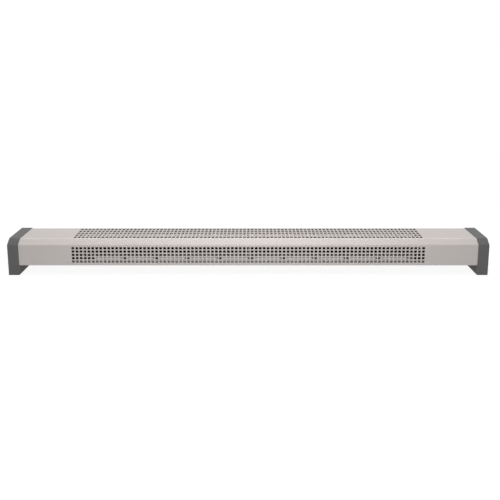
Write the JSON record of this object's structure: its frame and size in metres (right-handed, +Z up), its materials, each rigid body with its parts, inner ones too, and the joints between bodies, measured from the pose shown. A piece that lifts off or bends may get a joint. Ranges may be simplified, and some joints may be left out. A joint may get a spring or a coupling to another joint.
{
  "type": "plinth convector heater",
  "caption": "Long low floor-standing electric convector: perforated sheet cover with a sloping front edge, dark moulded end caps as legs, ribbed element inside.",
  "frame": {"origin": "on the floor under the middle of the heater, halfway between its front and its back", "axes": "+X along the heater to the right as seen from the front, +Y from the front to the wall behind it, +Z up"},
  "size_m": [1.208, 0.08, 0.0925],
  "materials": {
    "cover_paint": "warm grey metallic powder coat, satin",
    "black_sheet": "heat-resisting black paint on sheet, matt",
    "galvanised": "galvanised sheet, dull, faint spangle",
    "bright_sheet": "bright aluminised sheet",
    "cap_plastic": "dark grey moulded plastic, fine matt texture",
    "sheath_steel": "heat-darkened stainless tube",
    "element_black": "black heat-resistant coating, matt",
    "steatite": "off-white unglazed ceramic",
    "plated_steel": "zinc-plated steel, satin",
    "spring_steel": "bright spring wire",
    "brass": "machined brass",
    "copper_tube": "dull copper capillary",
    "phenolic": "black phenolic moulding",
    "block_plastic": "natural white nylon",
    "button_red": "red moulded plastic",
    "black_rubber": "black rubber, matt",
    "wire_brown": "brown heat-resistant insulation",
    "wire_blue": "blue heat-resistant insulation",
    "wire_green_yellow": "green and yellow insulation"
  },
  "bodies": {
    "casing": {"cover": "cover_paint", "back_panel": "galvanised", "base_tray": "galvanised", "left_end_cap": "cap_plastic", "right_end_cap": "cap_plastic", "left_end_plate": "galvanised", "right_end_plate": "galvanised", "left_partition": "black_sheet", "right_partition": "black_sheet", "heat_shield": "bright_sheet", "element_sheath": "sheath_steel", "element_profile": "element_black", "element_pins": "plated_steel", "element_insulators": "steatite", "partition_bushes": "steatite", "left_hanger": "galvanised", "mid_hanger": "galvanised", "right_hanger": "galvanised", "cutout_body": "phenolic", "cutout_nut": "plated_steel", "cutout_tabs": "brass", "reset_spring": "spring_steel", "sensor_tube": "copper_tube", "terminal_block": "block_plastic", "terminal_inserts": "brass", "terminal_screws": "plated_steel", "block_screws": "plated_steel", "cable_bush": "black_rubber", "earth_stud": "brass", "earth_nut": "brass", "earth_washer": "plated_steel", "live_wire": "wire_brown", "link_wire": "wire_brown", "neutral_wire": "wire_blue", "earth_wire": "wire_green_yellow", "wire_tags": "plated_steel", "cap_screws": "plated_steel", "cover_screws": "plated_steel", "chassis_rivets": "plated_steel"},
    "button": {"reset_button": "button_red"}
  },
  "joints": [
    {"name": "reset_press", "type": "slide", "parent": "casing", "child": "button", "axis": [0, 0, 1], "range_m": [0, 0.002], "stiffness_N_per_m": 800, "springref_m": -0.001, "deforming": ["reset_spring"]}
  ]
}
